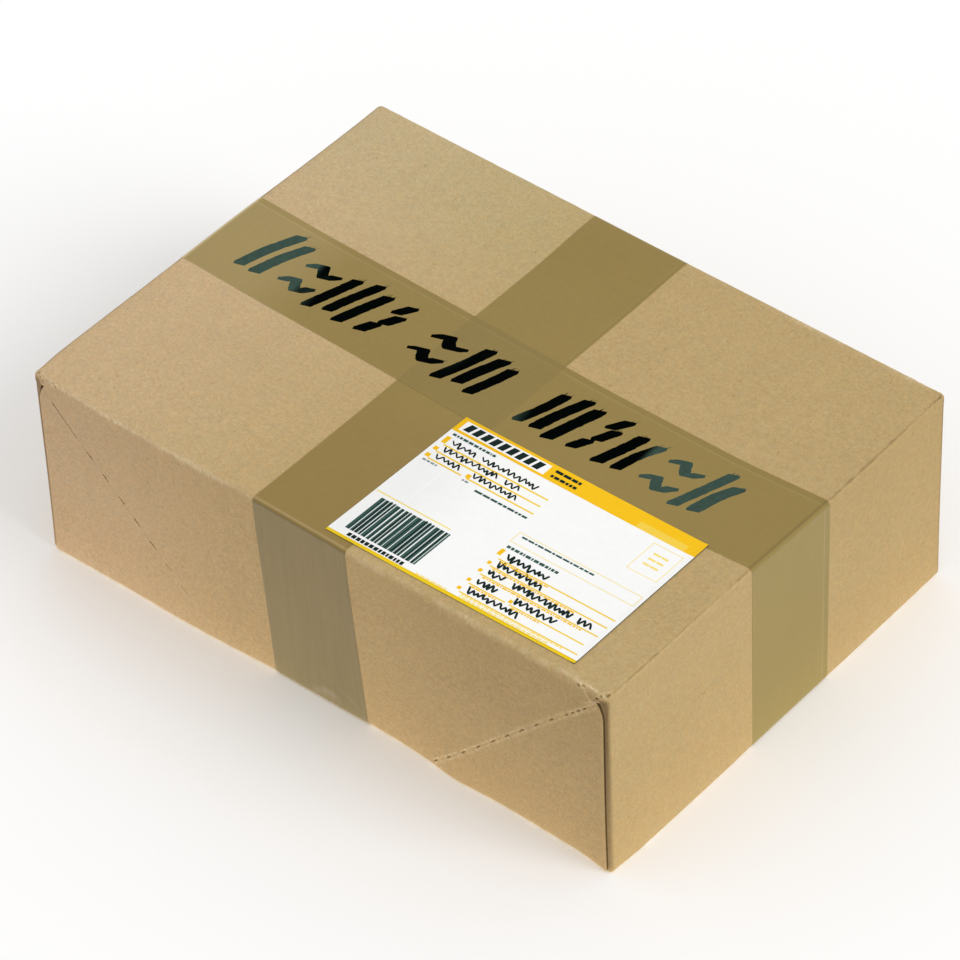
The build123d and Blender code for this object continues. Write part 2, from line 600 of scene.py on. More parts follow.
def crease_spots():
    """Layout places round the cuts of all creases, and in rows beside the creases."""
    rings = []
    beside = []
    for quarter, kind in enumerate(cut_kinds):
        rings.append(on_belt(quarter, *crease_spot(*nick_rings(kind).T)))
        rows = lattice(np.arange(crease_start, crease_end, crease_step), crease_offsets)
        rows[:, 1] += crease_line(kind, rows[:, 0])
        beside.append(on_belt(quarter, *crease_spot(*rows.T)))
    return np.vstack(rings), np.vstack(beside)


def wall_filling(total):
    """Spots between the corners of the walls."""
    fill = stagger((2, fold_reach + 1), (total - 2, belt_reach - fold_reach - 1), wall_fill)
    local = fill[:, 0] % (2 * quarter_reach)
    local = np.minimum(local, 2 * quarter_reach - local)
    return fill[(local < knot_reach[1] - 1) | (local > knot_reach[-2] + 1)]


def belt_layout():
    """The carton's walls with their folds, unrolled."""
    total = 4 * quarter_reach
    around = divided(all_round(knot_reach), around_step)
    fold_rows = np.linspace(0, fold_reach, fold_steps)
    top_rows = belt_reach - fold_rows[::-1]
    rows = belt_rows(fold_rows)
    outline = grid_rim(around, rows, 0, total)
    folds = lattice(around[1:-1], np.concatenate([fold_rows[1:], top_rows[:-1]]))
    corners = lattice(all_round(knot_reach[1:-1]), rows[1:-1])
    rings, beside = crease_spots()
    top_columns = all_round(half_length - np.arange(2.9, 15.5, 0.5))
    top_corners = lattice(top_columns, np.arange(belt_reach - 14, belt_reach - 0.3, 0.45))
    spots = sparse(outline, (folds, 0.1), (corners, 0.08), (rings, 0.05), (beside, 0.25),
                   (top_corners, 0.3), (wall_filling(total), 1.6))
    return around, outline, spots


def panel(around, up, step, extra):
    """Top or bottom panel inside the belt's last row, facing up."""
    row = belt(np.column_stack([around[:-1], np.full(len(around) - 1, float(up))]))
    reach = (half_length - fold_radius - panel_margin, half_width - worn_fold_radius - panel_margin)
    fill = stagger((-reach[0], -reach[1]), reach, step)
    spots = sparse(row[:, :2], (extra, 0.2), (fill, step * 0.6))
    corners, triangles, _ = layout(row[:, :2], spots)
    return np.column_stack([corners, np.full(len(corners), row[0, 2])]), triangles


def top_corner_spots():
    """Close spots on the top panel where its corners are damaged."""
    inner_x = np.arange(half_length - 14.5, half_length - 2.6, corner_step)
    inner_y = np.arange(half_width - 7.5, half_width - 3, corner_step)
    return lattice(np.concatenate([-inner_x, inner_x]), np.concatenate([-inner_y, inner_y]))


def seam_spots():
    """Close spots underneath, along the seams beside the end panels."""
    edge = seam_half_width
    offsets = [-1.2, -edge - 0.1, -edge, 0, edge, edge + 0.1, 1.2]
    columns = [side * (half_length - seam_inset) + offset for side in (-1, 1) for offset in offsets]
    columns = [x for x in columns if abs(x) < half_length - fold_radius - 0.15]
    return lattice(columns, np.arange(-half_width + 8, half_width - 7, seam_step))


def carton_skin():
    """The carton's ideal surface, closed, before wear and settling."""
    around, outline, spots = belt_layout()
    corners, wall_faces, _ = layout(outline, spots)
    walls = belt(corners)
    top, top_faces = panel(around, belt_reach, top_fill, top_corner_spots())
    bottom, bottom_faces = panel(around, 0, bottom_fill, seam_spots())
    points = np.vstack([walls, top, bottom])
    faces = np.vstack([wall_faces, top_faces + len(walls), bottom_faces[:, ::-1] + len(walls) + len(top)])
    kept, faces = joined(points, faces)
    return points[kept], faces


def covered(x, y, z):
    """1 where a tape lies on the board, easing off just outside it."""

    def along(place, half, reach):
        """Distance along a tape that runs over the top, down a wall and back underneath."""
        wall = np.where(z < 2 * fold_radius, reach - np.abs(place), half + height - z)
        return np.sign(place) * np.where(z > height - 2 * fold_radius, np.abs(place), wall)

    inside_of_cross = within(cross, x, along(y, half_width, cross_reach))
    inside_of_long = within(long, y, along(x, half_length, long_reach))
    on_cross = rise(inside_of_cross, -0.6, 0.4) * (np.abs(x) < half_length - 20)
    on_long = rise(inside_of_long, -0.6, 0.4) * (np.abs(y) < half_width - 20)
    return np.maximum(on_cross, on_long)


# Damage at the top corners: torn holes and the ridges of a crushed facet, as distances from the
# end panel and down the long side from the crest of its fold
torn_holes = [
    ((14.4, 0.9), 1.05),
    ((12.4, -0.4), 1.1),
    ((5.2, 2.8), 1.1),
    ((3.5, -0.1), 0.8),
    ((1.5, -2.2), 1.4),
]
torn_patch = (3.9, 0.9)
facet_ridges = [
    [(12.4, 0.6), (11.3, 1.9), (10.5, 4.2), (8.5, 5.9)],
    [(11.3, 8.9), (8.3, 6.2), (5.5, 5.0), (4.4, 3.2)],
    [(14.6, -0.6), (12.3, -0.6), (10.0, -1.6), (6.0, -1.2)],
]
facet_middle = (8.0, 2.6)
facet_spread = (3.0, 2.3)


def wear_corner(spots, strength):
    """Relief and tone of the damage at a top corner."""
    dent = bell(spots[:, 0], facet_middle[0], facet_spread[0])
    relief = -0.45 * dent * bell(spots[:, 1], facet_middle[1], facet_spread[1])
    tone = np.zeros(len(spots))
    for path in facet_ridges:
        gap = gap_to(spots, path)
        relief += 0.16 * bell(gap, 0, 0.45)
        tone += 0.5 * bell(gap, 0, 0.48)
    frayed = bell(np.linalg.norm(spots - torn_patch, axis=1), 0, 2.0)
    frayed = frayed * (0.7 + 0.4 * ripple(spots, 1.9, 19))
    tone += 0.5 * frayed
    relief += 0.1 * frayed
    for middle, radius in torn_holes:
        gap = np.linalg.norm(spots - middle, axis=1) / radius + 0.22 * ripple(spots, 1.7, 17)
        core = fall(gap, 0.35, 1.0)
        relief += -0.6 * core + 0.12 * bell(gap, 1.3, 0.35)
        tone += -0.8 * core + 0.25 * bell(gap, 1.35, 0.3)
    return relief * strength, tone * strength


# How each top corner differs from the damage above: its shift, its size and its strength
corner_damage = {
    (1, -1): ((0, 0), 1.0, 1.0),
    (-1, -1): ((1.0, 0.4), 0.8, 0.7),
    (1, 1): ((-0.5, 0.5), 1.15, 0.6),
    (-1, 1): ((0.8, -0.4), 0.9, 0.15),
}


class Skin:
    """Points of the carton's surface, with the relief and the tone that their wear and the painted light
    and shade add up to. The inset is the distance from the end panel, the depth from the long side, the
    drop from the top."""

    def __init__(self, points, normals):
        self.x, self.y, self.z = points.T
        self.inset = half_length - np.abs(self.x)
        self.depth = half_width - np.abs(self.y)
        self.drop = height - self.z
        self.facing = normals.T
        self.facing_end = np.abs(normals[:, 0]) > 0.75
        self.ragged = ripple(points, 9, 11)
        self.fine_ragged = ripple(points, 2.6, 12)
        self.patch = ripple(points, 36, 13)
        self.relief = np.zeros(len(points))
        self.tone = np.zeros(len(points))


def wear_long_folds(skin):
    """Upper folds of the long sides: a broad worn band on the right, and on the left a narrow
    fibrous ridge."""
    across = skin.drop - skin.depth
    on_fold = ((skin.depth < 6) & (skin.drop < 6) & ~skin.facing_end) * rise(skin.inset, 2, 14)
    right = rise(skin.x, 5, 50)
    frayed = across + 0.5 * skin.ragged + 0.25 * skin.fine_ragged
    band = rise(across, -3.0, -1.9) * fall(frayed, 2.4, 2.9)
    ridge = bell(across, 0.6 + 0.45 * skin.ragged, 1.75 + 0.3 * skin.patch)
    ridge = ridge * (1 - 0.3 * rise(skin.x, -85, -40))
    ridge = ridge * np.clip(0.9 + 0.25 * skin.patch + 0.3 * skin.fine_ragged, 0.2, 1.25)
    band = 0.21 * band * right * (1 + 0.45 * skin.patch + 0.45 * skin.ragged)
    skin.tone += on_fold * (band + 0.52 * ridge * (1 - 0.85 * right))
    rough = 0.07 * skin.fine_ragged + 0.1 * skin.ragged
    skin.relief += on_fold * bell(across, 0, 1.6) * rough * (1 - 0.7 * rise(skin.y, 0, 50))


def wear_end_folds(skin):
    """Upper folds of the end panels: a crisp score line, grooved and darkened by painted shade, with a
    faint painted highlight below it on the end panel.
    """
    across = skin.drop - skin.inset
    on_fold = ((skin.inset < 6) & (skin.drop < 6) & (skin.depth > 1.5)) * rise(skin.depth, 1.5, 5)
    score = bell(across, -0.5 + 0.2 * skin.fine_ragged, 0.85)
    line = -0.33 * score * (1 + 0.35 * skin.ragged + 0.4 * skin.patch)
    skin.tone += on_fold * (line + 0.08 * bell(across, 1.2, 0.8))
    skin.relief -= on_fold * 0.12 * score


def paint_wall_light_and_wear_low_folds(skin):
    """Painted shade darkens the front wall at its right, most high up, and painted light makes the right
    end panel lighter high up on its near half. The top panel's near right corner is lighter. The lower
    folds are worn pale."""
    x, y, z = skin.x, skin.y, skin.z
    # Painted shade on the front wall's right, then painted light on the right end panel
    skin.tone -= (0.05 + 0.07 * rise(z, 35, 80)) * rise(x, 25, 95) * (skin.facing[1] < -0.8)
    skin.tone += 0.15 * rise(z, 45, 85) * fall(y, -30, 30) * (skin.facing[0] > 0.8)
    skin.tone += 0.13 * rise(x, 112, 140) * fall(y, -85, -50) * (skin.facing[2] > 0.8)
    low_fold = (z < 4) * bell(z, 0.6, 1.2) * rise(np.minimum(skin.inset, skin.depth) * -1, -4, -1.5)
    skin.tone += 0.3 * low_fold * (1 + 0.5 * skin.ragged)


def wear_creases(skin):
    """Collapsing creases: a groove between two pale ridges, and the cuts along it."""
    on_long = (np.abs(skin.facing[1]) > 0.9) & (skin.depth < 0.5)
    down, off = crease_place(skin.inset, skin.z)
    for kind, here in ((stamped, skin.x * skin.y < 0), (shut, skin.x * skin.y > 0)):
        side = off - crease_line(kind, down)
        run = rise(down, crease_start - 1, crease_start + 3)
        run = run * fall(down, crease_end - 2.5, crease_end + 0.5)
        run = np.where(on_long & here, run, 0)
        weight, seam = (1.0, 0) if kind is stamped else (0.45, 0.32)
        ridges = bell(side, 1.2, 0.6) + bell(side, -1.2, 0.6)
        skin.relief += run * weight * (-0.2 * bell(side, 0, 0.6) + 0.1 * ridges)
        ridges = bell(side, 0.95, 0.5) + bell(side, -0.95, 0.5)
        skin.tone += run * weight * 0.44 * ridges * (1 + 0.6 * skin.fine_ragged)
        skin.tone -= run * seam * bell(side, 0, 0.42) * (1 - 0.8 * rise(down, 75, 110))
        for number, middle in enumerate(nicks):
            along, beside = in_nick(down, off, middle, kind)
            short = 0.7 if kind is stamped and number < close_nicks else 1.0
            ring = np.hypot(along / short, beside)
            fade = 1.0 if kind is stamped else shut_openness[number]
            core = run.clip(0, 1) * fade * fall(ring, 0.6, 1.0)
            skin.relief -= kind.depth * core
            skin.tone -= (kind.dark + 0.3) * core * (1 + 0.3 * skin.fine_ragged)
            skin.relief += run * 0.07 * bell(ring, 1.5, 0.4) * weight
            skin.tone += run * 0.34 * bell(ring, 1.5, 0.35) * weight


def darken_slits(skin):
    """Slits beside the cut edges, darkened with painted shade over the cut board's own darker colour, with
    paler rims on the cut edges; and painted shade on the wrapped panels and under the closed corners."""
    inset, depth, z = skin.inset, skin.depth, skin.z
    below_cap = fall(z, closed_from - 0.3, closed_from + 0.3)
    swing = shoulder(z)
    in_slit = (inset > slit_inset - 0.05) & (inset < cut_inset + swing + 0.03)
    in_slit = in_slit & (np.abs(skin.facing[2]) < 0.6)
    # Painted shade in the slits, darker higher up and deepest inside; at their mouths partly the cut
    # board's own colour
    slit_dark = 0.6 + 0.5 * rise(z, 5, 80)
    slit_mouth = in_slit & (inset > cut_inset + swing - 0.2)
    skin.tone -= np.where(slit_mouth, slit_dark * rise(depth, 0.02, 0.5), 0) * below_cap
    skin.tone -= np.where(in_slit & (depth > board - 0.3), 1, 0) * below_cap
    # Painted shade on the wrapped panel's strip beside each slit
    on_wrap = (inset < slit_inset + swing + 0.05) & (depth > wrap_recess - 0.05) & (z > fold_radius)
    strip = fall(depth, wrap_recess + 0.4, wrap_recess + wrap_radius + 0.9)
    skin.tone -= np.where(on_wrap, strip, 0) * below_cap * (0.38 + 0.18 * rise(z, 5, 85))
    # Painted shade under each closed corner
    shade = (1 - below_cap) * fall(z, closed_from + 1.6, closed_from + 3.8) * (skin.drop > depth)
    shade = shade * fall(inset, 3.4, 5.2) * fall(depth, 1.0, 2.4)
    skin.tone -= 0.6 * shade
    on_rim = (np.abs(inset - swing - cut_inset - 0.15) < 0.32) & (depth < 0.2)
    skin.tone += np.where(on_rim, 0.12, 0) * below_cap


def wear_top_corners(skin):
    """The damage at each top corner."""
    near = (skin.inset < 18) & (np.minimum(skin.drop, skin.depth) < 3.2)
    near = near & (skin.drop < 14) & (skin.depth < 6) & ~skin.facing_end
    for (side_x, side_y), (shift, size, strength) in corner_damage.items():
        here = near & (skin.x * side_x > 0) & (skin.y * side_y > 0)
        spots = np.column_stack([skin.inset[here], (skin.drop - skin.depth)[here]])
        relief, tone = wear_corner((spots - shift) / size, strength)
        skin.relief[here] += relief
        skin.tone[here] += tone


def sink_seams(skin):
    """Seams of the closing flaps underneath."""
    seam = (skin.facing[2] < -0.8) & (skin.depth > board + 1)
    gap = np.abs(skin.inset - seam_inset)
    seam = seam * fall(gap, seam_half_width - 0.06, seam_half_width + 0.06)
    skin.relief -= seam_depth * seam
    skin.tone -= seam


def wear_carton(points, normals):
    """Small relief of the carton's surface along its normals, and how worn or dark it is, painted light
    and shade included.
    """
    skin = Skin(points, normals)
    for wear in (wear_long_folds, wear_end_folds, paint_wall_light_and_wear_low_folds, wear_creases, darken_slits,
                 wear_top_corners, sink_seams):
        wear(skin)
    bare = 1 - covered(*points.T)
    return skin.relief * bare, np.clip(skin.tone * bare, -1, 1)


def make_carton(materials):
    """The carton with its wear, settled."""
    points, faces = carton_skin()
    normals = normals_of(points, faces)
    relief, tone = wear_carton(points, normals)
    points = settle(points + normals * relief[:, None])
    build("carton", points, faces, 0, materials, tone)


# Tapes: closed bands round the box, laid out by distance along the band from the middle of
# the top panel and by distance across it.
def wrapped(along, half):
    """Place and normal in a band's plane, at a distance along the band from the top's middle."""
    side = np.where(along < 0, -1.0, 1.0)
    reach = np.abs(along)
    flat = half - fold_radius
    arc = fold_radius * QUARTER_TURN
    upright = height - 2 * fold_radius
    upper = np.clip(reach - flat, 0, arc) / fold_radius
    down = np.clip(reach - flat - arc, 0, upright)
    lower = np.clip(reach - flat - arc - upright, 0, arc) / fold_radius
    back = np.clip(reach - flat - 2 * arc - upright, 0, flat)
    out = np.minimum(reach, flat) + fold_radius * (np.sin(upper) - 1 + np.cos(lower)) - back
    z = height - fold_radius * (1 - np.cos(upper)) - down - fold_radius * np.sin(lower)
    angle = upper + lower
    return side * out, z, side * np.sin(angle), np.cos(angle)


def crest(half):
    """Distance along a band from the top's middle to the crest of its upper fold."""
    return half - fold_radius + fold_radius * QUARTER_TURN / 2


def band_layout(tape, crossings, regions=()):
    """Flat layout of a tape: finer at the folds, at its edges, at the lap and where it crosses."""
    reach = band_half(tape.half)
    flat = tape.half - fold_radius
    arc = fold_radius * QUARTER_TURN
    folds = [flat, flat + arc, flat + arc + height - 2 * fold_radius, reach - flat]
    sides = (-1, 1)
    stops = sorted([-reach, 0.0, reach] + [side * fold for side in sides for fold in folds])
    upper = np.linspace(folds[0] - 1.5, folds[1] + 2.5, 16)
    lower = np.linspace(folds[2], folds[3], 7)
    fine = np.concatenate([side * rows for side in sides for rows in (upper, lower)])
    near_crossings = np.concatenate([line + np.arange(-1.2, 1.3, 0.3) for line in crossings] or [fine])
    along = distinct(np.concatenate([divided(stops, tape_step), fine, near_crossings]))
    edge = tape_width / 2
    lap_line = edge - tape.lap
    across = distinct(np.concatenate([
        [-edge, -edge + 0.35, -edge + 0.9, edge - 0.9, edge - 0.35, edge],
        np.linspace(-edge + 0.9, lap_line - 0.7, 19),
        lap_line + np.array([-0.7, -0.35, 0, 0.35, 0.7]),
    ]))
    outline = grid_rim(along, across, -reach, reach)
    return layout(outline, lattice(along[1:-1], across[1:-1]), regions)


def lap_layer(tape, across):
    """1 where a tape's second layer lies, 0 on the strip that it leaves bare."""
    line = tape_width / 2 - tape.lap
    return fall(across, line - 0.12, line + 0.12)


def tape_tone(tape, across, line_tone):
    """Lighter line where the second layer ends, the darker strip beside it, and rims lightened by painted
    light.
    """
    line = tape_width / 2 - tape.lap
    strip = rise(across, line, line + 0.35)
    rim = bell(np.abs(across), tape_width / 2, 0.3)
    return line_tone * bell(across, line, 0.4) - 0.07 * strip + 0.095 * rim


# The wrinkle low on the front of the crosswise tape: its highest place, and how far it runs
wrinkle_along = -198.3
wrinkle_across = 4.5
wrinkle_span = ((-8, -2), (17, 22))


def wrinkle_line(across):
    """Where the wrinkle runs, as a distance along the tape: it arches over a loose spot."""
    slope = np.where(across < wrinkle_across, 0.055, 0.032)
    return wrinkle_along - slope * (across - wrinkle_across) ** 2


def wrinkle_share(across):
    """1 within the wrinkle's span, fading at both ends."""
    return rise(across, *wrinkle_span[0]) * fall(across, *wrinkle_span[1])


def cross_wrinkles(along, across):
    """Height of the crosswise tape's wrinkles: one low on the front, and small ones at its folds."""
    low = 0.12 * bell(along, wrinkle_line(across) + 1.0, 0.9) * wrinkle_share(across)
    uneven = ripple(np.column_stack([across, along * 0.4]), 9, 41)
    return low + 0.08 * bell(np.abs(along), crest(half_width) + 2.6, 1.6) * uneven


def place_cross(spots, upper):
    """Places spots of the crosswise tape's layout, on its upper or its lower side."""
    along, across = spots.T
    y, z, normal_y, normal_z = wrapped(along, half_width)
    lift = cross.gap + upper * (film + lap_step * lap_layer(cross, across))
    lift = lift + cross_wrinkles(along, across) * (1 if upper else 0.8)
    base = settle(np.column_stack([course(cross, along) + across, y, z]))
    return base + np.column_stack([0 * y, normal_y, normal_z]) * lift[:, None]


def cross_tone(spots):
    """Lighter and darker lines of the crosswise tape: at its edges, and painted highlights and painted
    shade at its front fold and about its wrinkle.
    """
    along, across = spots.T
    front = along + crest(half_width)
    fold = 0.36 * bell(front, 0.75, 0.5) - 0.35 * bell(front, -0.9, 0.6)
    offset = along - wrinkle_line(across)
    below = bell(offset, -5.5, 1.6) * fall(across, 7, 12)
    above = 0.8 * bell(offset, 2.0, 1.2) * rise(across, 9, 14)
    wrinkle = wrinkle_share(across) * (0.16 * (below + above) - 0.14 * bell(offset, -0.4, 1.2))
    return tape_tone(cross, across, 0.06) + fold + wrinkle


def make_cross_tape(materials):
    """The crosswise tape as a closed ring of film."""
    corners, triangles, _ = band_layout(cross, [])
    # This band's layout is seen from behind where it lies on the box.
    points, faces, origin = shell(corners, triangles[:, ::-1], place_cross, cross_reach)
    build("tape_crosswise", points, faces, 0, materials, cross_tone(corners)[origin])


# Marker pattern on the lengthwise tape: rows of leaning hatches, stacked waves and short dabs,
# drawn with a flat tip held at one slant
marker_tip_width = 5.4
marker_tip_depth = 1.7
marker_slant = math.radians(20)
marker_foot = -12.5
marker_height = 27.0
marker_lean = 0.30
marker_groups = [
    (-133, ["pair", "waves", "triple", "dabs"]),
    (-43, ["waves", "triple"]),
    (22, ["triple", "dabs", "pair", "waves", "pair"]),
]
hatch_counts = {"pair": 2, "triple": 3}
hatch_pitch = 8.2
motif_widths = {"pair": 18.0, "triple": 26.2, "waves": 22.0, "dabs": 15.0}
wave_shares = [0, 0.25, 0.5, 0.75, 1]
dab_places = [(3.5, 0.72), (6.0, 0.40), (3.0, 0.06)]


def smooth_path(knots, count=7):
    """Points of a smooth line through the knots."""
    knots = np.array(knots, dtype=float)
    padded = np.vstack([2 * knots[0] - knots[1], knots, 2 * knots[-1] - knots[-2]])
    path = []
    for a, b, c, d in zip(padded, padded[1:], padded[2:], padded[3:]):
        for t in np.arange(count) / count:
            bend = 2 * a - 5 * b + 4 * c - d + t * (3 * b - a - 3 * c + d)
            path.append(b + 0.5 * t * ((c - a) + t * bend))
    return np.array(path + [knots[-1]])


def hull(spots):
    """The spots on the outline of the whole set."""
    return [spots[number] for number in geometry.convex_hull_2d([Vector(spot) for spot in spots])]


def swept(path, wide, deep, slant, draw):
    """Shapes covered by a flat tip moved along a path, with slightly uneven sides."""
    across = np.array([math.cos(slant), math.sin(slant)]) / 2
    along = np.array([-math.sin(slant), math.cos(slant)]) * deep / 2
    shapes = []
    for start, end in zip(path, path[1:]):
        side = across * wide * draw.uniform(0.93, 1.04)
        tip = np.array([-side - along, side - along, side + along, along - side])
        shapes.append(hull(np.vstack([start + tip, end + tip])))
    return shapes


def dry_streaks(path, wide, slant, draw):
    """Thin streaks that a drying tip leaves where a stroke ends."""
    run = (path[-1] - path[-2]) / np.linalg.norm(path[-1] - path[-2])
    across = np.array([math.cos(slant), math.sin(slant)])
    shapes = []
    for _ in range(4):
        root = path[-1] - run + across * wide * draw.uniform(-0.42, 0.42)
        thin = across * draw.uniform(0.15, 0.4)
        tip = root + run * draw.uniform(2.0, 4.2)
        shapes.append([root - thin, root + thin, tip + thin * 0.3, tip - thin * 0.3])
    return shapes


def motif_paths(kind, draw):
    """Knots of one motif's strokes, in a box as wide as the motif and of height 1."""
    if kind in hatch_counts:
        starts = 2 + hatch_pitch * np.arange(hatch_counts[kind])
        return [[(at, draw.uniform(-0.04, 0.14)), (at + draw.uniform(-0.7, 0.9), 0.5),
                 (at + draw.uniform(0, 1.4), draw.uniform(0.8, 1.08))] for at in starts]
    if kind == "waves":
        turns = [2.1 * math.pi * share for share in wave_shares]
        return [[(share * 13 + 3.5, level + 0.11 * math.sin(turn + draw.uniform(-0.3, 0.3)))
                 for share, turn in zip(wave_shares, turns)] for level in (0.22, 0.72)]
    return [[(at, level), (at + draw.uniform(1.2, 2.4), level + draw.uniform(0.22, 0.3))]
            for at, level in dab_places]


def marker_shapes():
    """Outlines of the marker pattern in the lengthwise tape's layout."""
    draw = np.random.default_rng(23)
    shapes = []
    for start, kinds in marker_groups:
        at = start
        for kind in kinds:
            tall = marker_height * draw.uniform(0.9, 1.08)
            foot = marker_foot + draw.uniform(-1.2, 1.2)
            for knots in motif_paths(kind, draw):
                placed = [(at + u + marker_lean * tall * v, foot + tall * v) for u, v in knots]
                wide = marker_tip_width * draw.uniform(0.88, 1.1)
                path = smooth_path(placed)
                shapes += swept(path, wide, marker_tip_depth, marker_slant, draw)
                shapes += dry_streaks(path, wide, marker_slant, draw)
            at += motif_widths[kind]
    return shapes


def place_long(spots, upper):
    """Places spots of the lengthwise tape's layout, over the crosswise tape where they cross."""
    along, across = spots.T
    x, z, normal_x, normal_z = wrapped(along, half_length)
    y = course(long, along) + across
    beside = np.where(z > height / 2, y, cross_reach - np.abs(y))
    crossing = cover(within(cross, x, beside)) * (np.abs(normal_z) > 0.5)
    layers = film + lap_step * lap_layer(long, across)
    lift = long.gap + (film + lap_step) * crossing + upper * layers
    # Underneath, the film dips a little into the seam of the closing flaps.
    lift = lift - 0.1 * bell(y, 0, 0.9) * (normal_z < -0.9) * (1 - crossing)
    base = settle(np.column_stack([x, y, z]))
    return base + np.column_stack([normal_x, 0 * x, normal_z]) * lift[:, None]


def long_tone(spots):
    """Lighter and darker lines of the lengthwise tape: at its edges and the crossing, painted shade at its
    right fold, a painted highlight at its left fold, and a painted sheen over its left end on the top.
    """
    along, across = spots.T
    on_top = np.abs(along) < half_length
    crossing = cover(within(cross, along, course(long, along) + across)) * on_top
    right = along - crest(half_length)
    left = -along - crest(half_length)
    fold = -0.5 * bell(right, -0.8, 0.5) - 0.15 * rise(right, -0.6, 0) * fall(right, 1.6, 2.2)
    fold += 0.95 * bell(left, -0.7, 0.8)
    painted_sheen = 0.18 * fall(along, -125, -85) * on_top
    return tape_tone(long, across, 0.12) + fold - 0.16 * crossing + painted_sheen


def make_long_tape(materials):
    """The lengthwise tape as a closed ring of film, with its marker pattern."""
    edges = [side * tape_width / 2 for side in (-1, 1)]
    over = [course(cross, 0) + edge for edge in edges]
    under = [side * long_reach - (course(cross, cross_reach) + edge) for side in (-1, 1) for edge in edges]
    corners, triangles, region = band_layout(long, over + under, marker_shapes())
    points, faces, origin = shell(corners, triangles, place_long, long_reach)
    marks = np.concatenate([region > 0, np.zeros(len(faces) - len(region))])
    build("tape_lengthwise", points, faces, marks, materials, long_tone(corners)[origin])


# Label: laid out on the top panel, with its print placed by shares of its length and width
# The last ink colours the label's side faces dark: a painted shadow along its edges.
WHITE, YELLOW, LEMON, SOFT, PALE, DARK, SLATE, GREY, EDGE_SHADOW = range(9)
# How thick the lines of printed frames are, and the slant of the pen
frame_line = 0.35
pen_slant = math.radians(-35)
# Curl of the label's right edge, and how far its near edge stands off
curl_zone = 3
curl_height = 0.32
edge_lift = 0.12


def on_label(spots):
    """Turns shares along and across the label into places on the top panel."""
    u, v = np.array(spots, dtype=float).T
    far_left, far_right, near_right, near_left = label_corners
    far = far_left + np.outer(u, far_right - far_left)
    near = near_left + np.outer(u, near_right - near_left)
    return far + (near - far) * v[:, None]


def bar(u0, v0, u1, v1, ink):
    """A printed bar between two corners."""
    return [(on_label([(u0, v0), (u1, v0), (u1, v1), (u0, v1)]), ink)]


def frame_bars(u0, v0, u1, v1):
    """A printed frame of thin pale bars."""
    thick_u = frame_line / label_length
    thick_v = frame_line / label_width
    level = bar(u0, v0, u1, v0 + thick_v, PALE) + bar(u0, v1 - thick_v, u1, v1, PALE)
    return level + bar(u0, v0, u0 + thick_u, v1, PALE) + bar(u1 - thick_u, v0, u1, v1, PALE)


def rules(spans, thick):
    """Writing lines, each given by where it starts, where it ends and how far down it lies."""
    return [shape for u0, u1, v in spans for shape in bar(u0, v, u1, v + thick, SOFT)]


def ticks(spots, wide, tall):
    """Small fields of one size in front of the writing lines."""
    return [shape for u, v in spots for shape in bar(u, v, u + wide, v + tall, YELLOW)]


def dashes(draw, u0, u1, v, tall, ink, shortest=0.004, longest=0.02):
    """A row of small bars of uneven length that stands in for a line of small print."""
    bars = []
    at = u0
    while at < u1 - shortest:
        end = min(u1, at + draw.uniform(shortest, longest))
        bars += bar(at, v - tall / 2, end, v + tall / 2, ink)
        at = end + 0.0035
    return bars


def slanted_blocks(u0, u1, v0, v1, count, lean):
    """A row of leaning blocks that stands in for a heavy heading."""
    pitch = (u1 - u0) / count
    wide = pitch * 0.72
    starts = [u0 + number * pitch for number in range(count)]
    outlines = [[(at + lean, v0), (at + lean + wide, v0), (at + wide, v1), (at, v1)] for at in starts]
    return [(on_label(outline), DARK) for outline in outlines]


def scribble(draw, u0, u1, v, tall, pen):
    """An unreadable wavy pen line that stands in for a written word."""
    knots = []
    at = u0
    side = 1
    while at < u1:
        knots.append((at, v - side * tall / 2 * draw.uniform(0.35, 1.0)))
        at += draw.uniform(0.0065, 0.0145)
        side = -side
    path = smooth_path(on_label(knots), 6)
    return [(shape, DARK) for shape in swept(path, pen, pen * 0.55, pen_slant, draw)]


def heading_print(draw):
    """The coloured band with its heading, small print and bare pale block, and a line below it."""
    printed = bar(-0.01, -0.01, 1.01, 0.108, YELLOW) + bar(0.018, 0.018, 0.372, 0.09, WHITE)
    printed += slanted_blocks(0.03, 0.352, 0.026, 0.08, 9, 0.010)
    for v in (0.034, 0.072):
        printed += dashes(draw, 0.395, 0.5, v, 0.018, DARK, 0.01, 0.035)
    printed += bar(0.76, 0.062, 0.955, 0.108, SOFT)
    return printed + dashes(draw, 0.02, 0.2, 0.13, 0.016, SLATE)


def sender_print(draw):
    """The sender's lines at the left, with their writing."""
    printed = bar(0.012, 0.155, 0.03, 0.208, YELLOW)
    spans = [(0.03, 0.465, 0.21), (0.03, 0.465, 0.267), (0.03, 0.17, 0.326), (0.19, 0.47, 0.326)]
    printed += rules(spans, 0.010)
    printed += ticks([(0.012, 0.243), (0.012, 0.301), (0.182, 0.301)], 0.018, 0.026)
    for u0, u1, v in ((0.045, 0.15, 0.18), (0.17, 0.40, 0.18), (0.045, 0.27, 0.238), (0.30, 0.36, 0.238),
                      (0.045, 0.145, 0.298), (0.20, 0.38, 0.298)):
        printed += scribble(draw, u0, u1, v, 0.042, 0.85)
    for u0, u1 in ((0.02, 0.08), (0.185, 0.21)):
        printed += dashes(draw, u0, u1, 0.35, 0.012, GREY, 0.006, 0.02)
    return printed + dashes(draw, 0.25, 0.47, 0.372, 0.014, SLATE, 0.01, 0.04)


